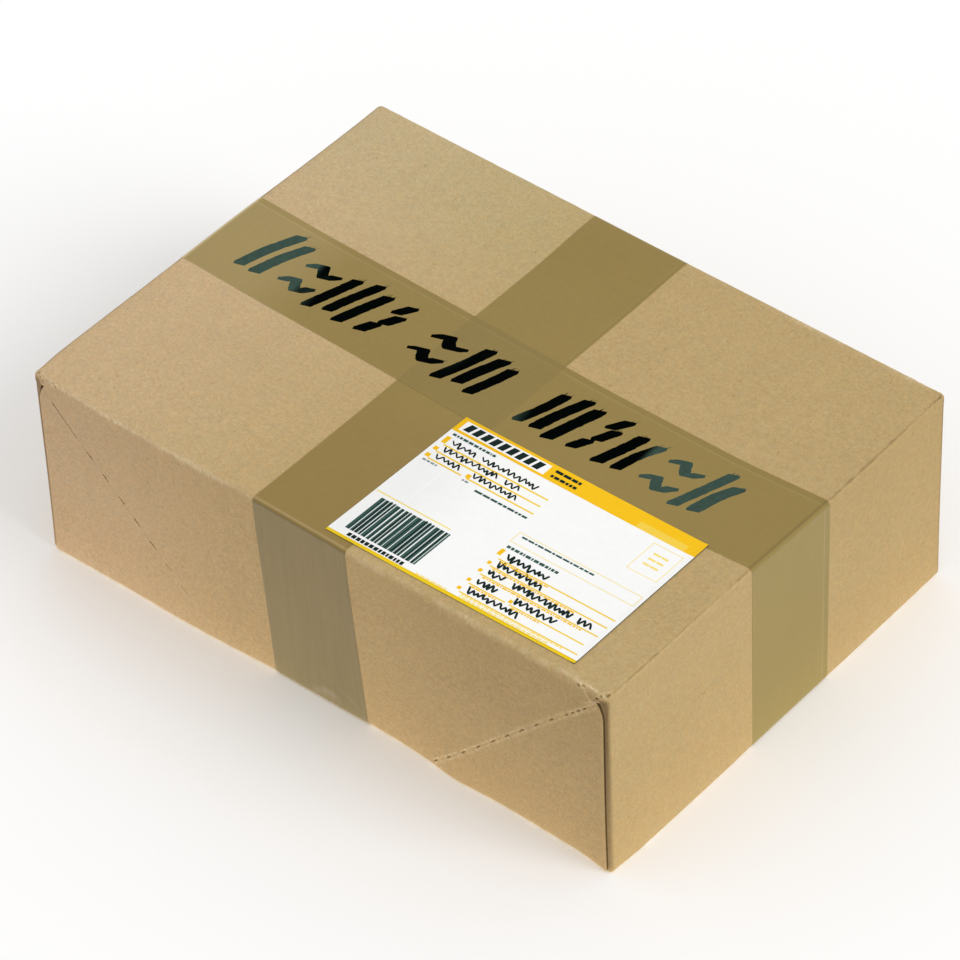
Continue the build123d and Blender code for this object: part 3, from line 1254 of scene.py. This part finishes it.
def bar_print(draw):
    """A made-up pattern of upright bars over a row of small blocks."""
    printed = bar(0.004, 0.645, 0.31, 0.653, PALE) + bar(0.042, 0.675, 0.327, 0.935, SLATE)
    at = 0.052
    while at < 0.318:
        wide = draw.choice([0.003, 0.0042, 0.006])
        printed += bar(at, 0.67 if draw.random() < 0.5 else 0.675, at + wide, 0.935, DARK)
        at += wide + draw.choice([0.0015, 0.004, 0.007])
        wide = draw.choice([0.0020, 0.0028, 0.0044])
        printed += bar(at, 0.67, at + wide, 0.94, WHITE)
        at += wide + draw.choice([0.003, 0.006, 0.010])
    printed += dashes(draw, 0.07, 0.30, 0.962, 0.024, DARK, 0.008, 0.016)
    printed += dashes(draw, 0.355, 0.48, 0.972, 0.008, PALE, 0.01, 0.03)
    return printed + bar(-0.01, 0.982, 1.01, 1.01, LEMON)


def receiver_print(draw):
    """The receiver's lines at the right, with their writing and small print."""
    printed = frame_bars(0.49, 0.463, 0.985, 0.541)
    printed += dashes(draw, 0.51, 0.80, 0.485, 0.012, SLATE, 0.008, 0.03)
    printed += dashes(draw, 0.50, 0.71, 0.575, 0.018, SLATE)
    printed += bar(0.494, 0.6, 0.51, 0.645, YELLOW)
    printed += rules([(0.515, 0.983, v) for v in (0.662, 0.722, 0.792, 0.942)], 0.009)
    printed += rules([(0.514, 0.66, 0.872), (0.675, 0.97, 0.872)], 0.009)
    for u0, u1, v in ((0.53, 0.70, 0.635), (0.53, 0.71, 0.695), (0.53, 0.60, 0.763), (0.63, 0.86, 0.763),
                      (0.89, 0.95, 0.763), (0.53, 0.61, 0.843), (0.68, 0.84, 0.843), (0.53, 0.74, 0.913)):
        printed += scribble(draw, u0, u1, v, 0.046, 1.0)
    spots = [(0.497, 0.70), (0.497, 0.765), (0.497, 0.845), (0.664, 0.845), (0.497, 0.915)]
    printed += ticks(spots, 0.014, 0.022)
    for u0, u1, v in ((0.53, 0.72, 0.678), (0.53, 0.86, 0.738), (0.53, 0.93, 0.808), (0.53, 0.63, 0.888),
                      (0.69, 0.80, 0.888), (0.53, 0.93, 0.957), (0.53, 0.88, 0.972)):
        printed += dashes(draw, u0, u1, v, 0.010, YELLOW if v < 0.95 else PALE)
    return printed


def stamp_print(draw):
    """The stamp's frame with its three lines."""
    printed = frame_bars(0.855, 0.14, 0.975, 0.35)
    for v in (0.2, 0.24, 0.28):
        printed += dashes(draw, 0.885, 0.945, v, 0.014, PALE, 0.02, 0.04)
    return printed


def label_print():
    """Fields of colour on the label, from the lowest to the uppermost."""
    draw = np.random.default_rng(5)
    printed = []
    for part in (heading_print, sender_print, bar_print, receiver_print, stamp_print):
        printed += part(draw)
    return printed


def inside_label(spots, margin):
    """Which spots lie inside the label's four edges by at least a margin."""
    inside = np.ones(len(spots), dtype=bool)
    for start, end in zip(label_corners, np.roll(label_corners, -1, axis=0)):
        run = (end - start) / np.linalg.norm(end - start)
        side = (spots[:, 0] - start[0]) * run[1] - (spots[:, 1] - start[1]) * run[0]
        inside &= side > margin
    return inside


def label_layout(printed):
    """Flat layout of the label, finer beside the tape edges under it and at its curled edge."""
    outline = []
    for start, end in zip(label_corners, np.roll(label_corners, -1, axis=0)):
        count = int(np.linalg.norm(end - start) / label_step)
        outline += [start + (end - start) * number / count for number in range(count)]
    low = label_corners.min(axis=0)
    high = label_corners.max(axis=0)
    columns = np.arange(low[0] + 1, high[0], label_step)
    rows = np.arange(low[1] + 1, high[1], label_step)
    shifts = tape_width / 2 + np.arange(-1.4, 1.5, 0.35)
    beside_cross = [(course(cross, y) + shift, y) for y in rows for shift in shifts]
    beside_long = [(x, course(long, x) - shift) for x in columns for shift in shifts[::-1]]
    beside_right = lattice(label_corners[1][0] - np.array([0.6, 1.3, 2.2, 3.2]), rows)
    spots = np.vstack([stagger(low, high, label_fill), beside_cross, beside_long, beside_right])
    return layout(outline, spots[inside_label(spots, 0.5)], [shape for shape, _ in printed])


def place_label(spots, upper):
    """Places spots of the label's layout, draped over the tapes."""
    x, y = spots.T
    lift = label_gap + (film + lap_step) * (cover(within(cross, x, y)) + cover(within(long, y, x)))
    near_edge = bell(y, label_corners[2:, 1].mean(), 5) * (0.5 + 0.5 * ripple(spots, 45, 33))
    lift = lift + edge_lift * np.clip(near_edge, 0, 1) + 0.03 * np.abs(ripple(spots, 60, 31))
    base = settle(np.column_stack([x, y, np.full(len(x), height)]))
    curl = curl_height * rise(x, label_corners[1][0] - curl_zone, label_corners[1][0])
    base[:, 2] += lift + (paper + curl) * upper
    return base


def make_label(materials):
    """The address label with its print."""
    printed = label_print()
    corners, triangles, region = label_layout(printed)
    points, faces, _ = shell(corners, triangles, place_label)
    inks = np.array([WHITE] + [ink for _, ink in printed])
    under = np.full(len(triangles), WHITE)
    # Side faces take the dark edge colour, a painted shadow
    edge = np.full(len(faces) - 2 * len(triangles), EDGE_SHADOW)
    marks = np.concatenate([inks[region], under, edge])
    build("address_label", points, faces, marks, materials, 0)


# Materials: colours of the board on its left and right, the left paler and cooler partly from painted
# light; where it is worn or lit by painted light, and where it is cut or darkened by painted shade
board_left_with_light = (0.548, 0.396, 0.227)
board_right = (0.480, 0.345, 0.162)
board_worn_or_lit = (0.72, 0.565, 0.345)
board_cut_or_shaded = (0.100, 0.054, 0.015)
# Colours of the tape: its cloudy film, and its palest and darkest lines, which are mostly painted
# highlights and painted shade
film_light = (0.274, 0.189, 0.042)
film_deep = (0.262, 0.180, 0.039)
film_pale_or_highlight = (0.60, 0.475, 0.26)
film_dark_or_shaded = (0.10, 0.075, 0.022)
# Colours of the marker ink: black, and slate green in broad patches
ink_black = (0.001, 0.002, 0.0015)
ink_slate = (0.045, 0.078, 0.062)


def node(tree, kind, inputs=(), **settings):
    """A shader node with its settings, and with values or links on its inputs."""
    made = tree.nodes.new("ShaderNode" + kind)
    for name, value in settings.items():
        setattr(made, name, value)
    for key, value in dict(inputs).items():
        if isinstance(value, bpy.types.NodeSocket):
            tree.links.new(value, made.inputs[key])
        else:
            made.inputs[key].default_value = value
    return made


class Shade:
    """One material under work. Its methods add nodes and return the socket that they end in."""

    def __init__(self, name, roughness, shine):
        self.material = bpy.data.materials.new(name)
        self.material.use_nodes = True
        self.tree = self.material.node_tree
        self.shader = self.tree.nodes["Principled BSDF"]
        self.shader.inputs["Roughness"].default_value = roughness
        self.shader.inputs["Specular IOR Level"].default_value = shine
        self.place = self.node("TexCoord").outputs["Object"]

    def node(self, kind, inputs=(), **settings):
        """Adds a node to this material."""
        return node(self.tree, kind, inputs, **settings)

    def tone(self):
        """How worn or dark a place is, from -1 to 1; painted light and shade are carried in it too."""
        return self.node("Attribute", attribute_name="tone").outputs["Fac"]

    def facing(self, axis):
        """One part of the surface's direction."""
        return self.part(self.node("NewGeometry").outputs["Normal"], axis)

    def part(self, value, axis):
        """One part of a vector."""
        return self.node("SeparateXYZ", {0: value}).outputs[axis]

    def noise(self, scale, detail=2.0, rough=0.5):
        """Fractal noise of about 0 to 1. Three scales stretch it along the axes."""
        place = self.place
        if not isinstance(scale, int):
            place = self.node("VectorMath", {0: place, 1: scale}, operation="MULTIPLY").outputs[0]
            scale = 1
        inputs = {"Vector": place, "Scale": scale, "Detail": detail, "Roughness": rough}
        return self.node("TexNoise", inputs).outputs["Fac"]

    def ramp(self, value, low, high, start=0.0, end=1.0, smooth=True):
        """Maps a value from low..high to start..end, held at both ends."""
        inputs = {"Value": value, "From Min": low, "From Max": high, "To Min": start, "To Max": end}
        kind = "SMOOTHSTEP" if smooth else "LINEAR"
        return self.node("MapRange", inputs, interpolation_type=kind).outputs["Result"]

    def along(self, axis, low, high, start=0.0, end=1.0):
        """A ramp along one axis, in metres."""
        return self.ramp(self.part(self.place, axis), low, high, start, end)

    def maths(self, operation, *values):
        """Works with values and sockets."""
        return self.node("Math", dict(enumerate(values)), operation=operation).outputs[0]

    def blend(self, share, first, second):
        """Mixes two values."""
        return self.node("Mix", {0: share, 2: first, 3: second}).outputs[0]

    def mix(self, share, first, second, mode="MIX"):
        """Mixes two colours, each a socket or a red, green, blue value."""
        first, second = ((*value, 1) if isinstance(value, tuple) else value for value in (first, second))
        inputs = {0: share, 6: first, 7: second}
        return self.node("Mix", inputs, data_type="RGBA", blend_type=mode).outputs[2]

    def tint(self, share, colour, factors):
        """A colour that is multiplied by factors where the share is 1."""
        return self.mix(share, colour, factors, "MULTIPLY")

    def scaled(self, colour, factor):
        """A colour made lighter or darker by a factor."""
        return self.node("VectorMath", {0: colour, "Scale": factor}, operation="SCALE").outputs[0]

    def around_one(self, *parts):
        """1 plus each noise's swing about its middle, by its own amount."""
        total = 1.0
        for value, amount in parts:
            swing = self.maths("MULTIPLY", self.maths("SUBTRACT", value, 0.5), amount)
            total = self.maths("ADD", total, swing)
        return total

    def finish(self, colour, relief, distance, strength=1.0):
        """Links the material's colour and its bump."""
        self.tree.links.new(colour, self.shader.inputs["Base Color"])
        bump = self.node("Bump", {"Height": relief, "Distance": distance, "Strength": strength})
        self.tree.links.new(bump.outputs["Normal"], self.shader.inputs["Normal"])
        return self.material


def board_material():
    """Brown kraft liner: mottled fibres, faint flutes, pale worn folds and dark cuts, with painted light
    and shade: paler and cooler to the left, tinted by the way each face turns, and the painted light and
    shade in its tone.
    """
    shade = Shade("kraft board", 0.86, 0.25)
    tone = shade.tone()
    # Painted light, partly the board's own colour: paler and cooler to the left and at the rear left.
    # Warmer low down. The end panels and the front wall get their own tints by the way they face: painted
    # light.
    colour = shade.mix(shade.along("X", -0.16, 0.01), board_left_with_light, board_right)
    rear_left = shade.maths("MULTIPLY", shade.along("Y", 0.01, 0.09), shade.along("X", 0.02, -0.06))
    colour = shade.tint(rear_left, colour, (0.96, 1.03, 1.02))
    colour = shade.tint(shade.along("Z", 0.055, 0.015), colour, (0.995, 0.968, 0.935))
    on_end = shade.maths("GREATER_THAN", shade.maths("ABSOLUTE", shade.facing("X")), 0.7)
    colour = shade.tint(on_end, colour, (1.005, 0.988, 0.958))
    colour = shade.tint(shade.ramp(shade.facing("Y"), -0.7, -0.9), colour, (1.03, 0.985, 0.99))
    # Liner fibres and specks of several sizes. Flutes stand upright in the walls and run from
    # front to back in the top panel.
    blotch = shade.noise(190)
    grain = shade.noise(560, 3, 0.6)
    speck = shade.noise(1350, 2, 0.6)
    cloud = shade.noise(30, 3)
    streak = shade.blend(on_end, shade.noise((170, 4, 4)), shade.noise((4, 170, 4)))
    parts = ((blotch, 0.09), (grain, 0.40), (speck, 0.50), (cloud, 0.08), (streak, 0.05))
    lightness = shade.around_one(*parts)
    calmer = shade.maths("MULTIPLY", shade.maths("SUBTRACT", lightness, 1.0), 0.8)
    calmer = shade.maths("ADD", 1.0, calmer)
    colour = shade.scaled(colour, shade.blend(on_end, lightness, calmer))
    warm = shade.ramp(shade.noise(340), 0.35, 0.65, smooth=False)
    colour = shade.tint(warm, colour, (1.028, 0.990, 0.928))
    cool = shade.ramp(shade.noise((430, 480, 430), 1), 0.40, 0.65)
    colour = shade.tint(cool, colour, (0.979, 1.005, 1.010))
    shive = shade.ramp(shade.noise((520, 240, 380), 1), 0.74, 0.82)
    colour = shade.tint(shive, colour, (0.80, 0.76, 0.68))
    # Wear and cuts, and the painted light and painted shade that the tone also carries
    worn = shade.maths("MULTIPLY", tone, shade.around_one((shade.noise((1500, 420, 420), 2, 0.6), 2.6)))
    colour = shade.mix(shade.ramp(worn, 0.02, 0.85, 0.0, 0.85), colour, board_worn_or_lit)
    cut = shade.maths("MULTIPLY", tone, -1.0)
    colour = shade.mix(shade.ramp(cut, 0.0, 1.0, smooth=False), colour, board_cut_or_shaded)
    relief = shade.around_one((grain, 0.7), (speck, 0.5), (blotch, 0.6), (streak, 0.5))
    return shade.finish(colour, relief, 0.00007)


def tape_material():
    """Brown parcel tape: glossy film over its adhesive, darker where it lies double."""
    shade = Shade("brown tape", 0.30, 0.35)
    tone = shade.tone()
    colour = shade.mix(shade.ramp(shade.noise(16), 0.3, 0.7), film_light, film_deep)
    mottle = shade.around_one((shade.noise(420), 0.12), (shade.noise(1300, 1), 0.06))
    colour = shade.scaled(colour, mottle)
    colour = shade.mix(shade.ramp(tone, 0.0, 1.0, smooth=False), colour, film_pale_or_highlight)
    darker = shade.ramp(shade.maths("MULTIPLY", tone, -1.0), 0.0, 1.0, smooth=False)
    colour = shade.mix(darker, colour, film_dark_or_shaded)
    # The film is browner towards the front. Fine streaks run down it on the front and back walls. Painted
    # light makes it paler on the right end, and a painted reflection makes it more grey on the left end
    # and along the sides, most low down on the sides.
    colour = shade.tint(shade.along("Y", -0.022, -0.045), colour, (1.0, 0.955, 0.98))
    colour = shade.tint(shade.ramp(shade.facing("X"), 0.6, 0.95), colour, (1.14, 1.17, 1.21))
    colour = shade.tint(shade.ramp(shade.facing("X"), -0.6, -0.95), colour, (1.02, 1.05, 1.6))
    on_side = shade.ramp(shade.maths("ABSOLUTE", shade.facing("Y")), 0.88, 0.99)
    paler = shade.mix(shade.along("Z", 0.085, 0.03), (0.975, 1.06, 1.70), (1.005, 1.105, 1.90))
    colour = shade.tint(on_side, colour, paler)
    streaks = shade.around_one((shade.noise((420, 420, 16), 3, 0.6), 0.30))
    colour = shade.mix(on_side, colour, shade.scaled(colour, streaks))
    relief = shade.around_one((shade.noise(45, 1), 1.0), (shade.noise(700), 0.10))
    return shade.finish(colour, relief, 0.00008, 0.45)


def ink_material():
    """Marker ink on tape: black, with slate green in broad patches, more of it at the left."""
    shade = Shade("marker ink", 0.45, 0.0)
    at_left = shade.along("X", -0.118, -0.098, 0.35, 0.0)
    # Slate-green patches over the black, more of them towards the left
    thin = shade.ramp(shade.maths("ADD", shade.noise((20, 7, 7), 1), at_left), 0.54, 0.60)
    grain = shade.noise(420)
    colour = shade.scaled(shade.mix(thin, ink_black, ink_slate), shade.around_one((grain, 0.5)))
    return shade.finish(colour, grain, 0.00003, 0.5)


def paper_material(name, colour):
    """Smooth label paper, printed in one colour with a slight mottle, with painted shade at its left."""
    shade = Shade(name, 0.5, 0.1)
    softer = tuple(0.98 * value for value in colour)
    mottled = shade.mix(shade.ramp(shade.noise(340, 3), 0.3, 0.7), colour, softer)
    shaded = shade.scaled(mottled, shade.along("X", 0.012, 0.052, 0.915, 1.0))
    return shade.finish(shaded, shade.noise(1200), 0.00002, 0.4)


def label_materials():
    """One printed colour for each of the label's inks, in their order."""
    inks = {
        "white": (0.95, 0.95, 0.94),
        "yellow": (0.93, 0.545, 0.007),
        "lemon": (0.87, 0.60, 0.010),
        "soft yellow": (0.92, 0.63, 0.068),
        "pale yellow": (0.96, 0.76, 0.22),
        "dark": (0.001, 0.013, 0.010),
        "slate": (0.040, 0.098, 0.082),
        "grey": (0.25, 0.29, 0.30),
        # The label's side faces: a painted shadow
        "edge": (0.07, 0.085, 0.06),
    }
    return [paper_material("label " + name, colour) for name, colour in inks.items()]


# Stage, light and camera
floor_half = 40.0
floor_glow = 0.58
near_glow = 0.80
glow_reach = 0.085
world_level = 0.80
sun_towards = Vector((0.30, 0.06, 0.22))
sun_level = 0.36
sun_spread = math.radians(35)


def seen_directly(tree):
    """1 for rays of the camera, of reflections and through glass, and 0 for lighting rays."""
    rays = node(tree, "LightPath").outputs
    seen = node(tree, "Math", {0: rays["Is Camera Ray"], 1: rays["Is Glossy Ray"]}, operation="MAXIMUM")
    inputs = {0: seen.outputs[0], 1: rays["Is Transmission Ray"]}
    return node(tree, "Math", inputs, operation="MAXIMUM").outputs[0]


def floor_material():
    """White where it is seen, with the parcel's shadow. On the parcel it casts an even bounce of
    light that is strongest close to it."""
    shade = Shade("pale floor", 1.0, 0.0)
    shade.shader.inputs["Base Color"].default_value = (1, 1, 1, 1)
    # Distance from the parcel's footprint
    outside = shade.place
    footprint = (half_length * MM, half_width * MM, 0)
    for operation, limit in (("ABSOLUTE", ()), ("SUBTRACT", footprint), ("MAXIMUM", (0, 0, 0))):
        inputs = {0: outside, 1: limit} if limit else {0: outside}
        outside = shade.node("VectorMath", inputs, operation=operation).outputs[0]
    distance = shade.node("VectorMath", {0: outside}, operation="LENGTH").outputs[1]
    fade = shade.maths("EXPONENT", shade.maths("DIVIDE", distance, -glow_reach))
    glow = shade.maths("ADD", floor_glow, shade.maths("MULTIPLY", fade, near_glow))
    glow = shade.maths("MULTIPLY", glow, shade.along("Y", -0.25, 0.25, 1.06, 0.84))
    bounce = shade.node("Emission", {"Strength": glow}).outputs[0]
    inputs = {0: seen_directly(shade.tree), 1: bounce, 2: shade.shader.outputs[0]}
    shown = shade.node("MixShader", inputs).outputs[0]
    shade.tree.links.new(shown, shade.tree.nodes["Material Output"].inputs["Surface"])
    shade.material.cycles.emission_sampling = "NONE"
    return shade.material


def make_floor():
    """Plain pale floor under the parcel."""
    corners = [(x * floor_half, y * floor_half, 0) for x, y in ((-1, -1), (1, -1), (1, 1), (-1, 1))]
    mesh = bpy.data.meshes.new("floor")
    mesh.from_pydata(corners, [], [(0, 1, 2, 3)])
    mesh.materials.append(floor_material())
    floor = bpy.data.objects.new("floor", mesh)
    bpy.context.scene.collection.objects.link(floor)


def make_light():
    """Soft light from all round, and a broad key light from the right."""
    world = bpy.data.worlds.new("studio")
    bpy.context.scene.world = world
    world.use_nodes = True
    tree = world.node_tree
    background = tree.nodes["Background"]
    background.inputs["Color"].default_value = (1, 1, 1, 1)
    inputs = {"Value": seen_directly(tree), "To Min": world_level}
    level = node(tree, "MapRange", inputs).outputs["Result"]
    tree.links.new(level, background.inputs["Strength"])
    lamp = bpy.data.lights.new("key", "SUN")
    lamp.energy = sun_level * math.pi
    lamp.angle = sun_spread
    sun = bpy.data.objects.new("key", lamp)
    sun.rotation_mode = "QUATERNION"
    sun.rotation_quaternion = sun_towards.to_track_quat("Z", "Y")
    bpy.context.scene.collection.objects.link(sun)


# Camera: the photograph's viewing angle, looking at the parcel's middle from a long way off
camera_azimuth = math.radians(42.09)
camera_elevation = math.radians(43.50)
camera_roll = math.radians(-2.825)
camera_distance = 2143.7
camera_target = Vector((-0.32, -6.21, 50.5))
photo_lens = 207.1
framing = 0.925


def make_camera():
    """The camera, turned by its three angles."""
    data = bpy.data.cameras.new("camera")
    data.lens = photo_lens * framing
    data.clip_end = 200
    camera = bpy.data.objects.new("camera", data)
    forward = Vector((-math.sin(camera_azimuth) * math.cos(camera_elevation),
                      math.cos(camera_azimuth) * math.cos(camera_elevation), -math.sin(camera_elevation)))
    level = Vector((math.cos(camera_azimuth), math.sin(camera_azimuth), 0))
    above = level.cross(forward)
    right = level * math.cos(camera_roll) + above * math.sin(camera_roll)
    up = above * math.cos(camera_roll) - level * math.sin(camera_roll)
    turn = Matrix([right, up, -forward]).transposed()
    spot = (camera_target - forward * camera_distance) * MM
    camera.matrix_world = Matrix.Translation(spot) @ turn.to_4x4()
    bpy.context.scene.collection.objects.link(camera)
    bpy.context.scene.camera = camera


def main():
    make_carton([board_material()])
    tape_finish = tape_material()
    make_cross_tape([tape_finish])
    make_long_tape([tape_finish, ink_material()])
    make_label(label_materials())
    make_floor()
    make_light()
    make_camera()
    bpy.context.scene.view_settings.view_transform = "Standard"


main()
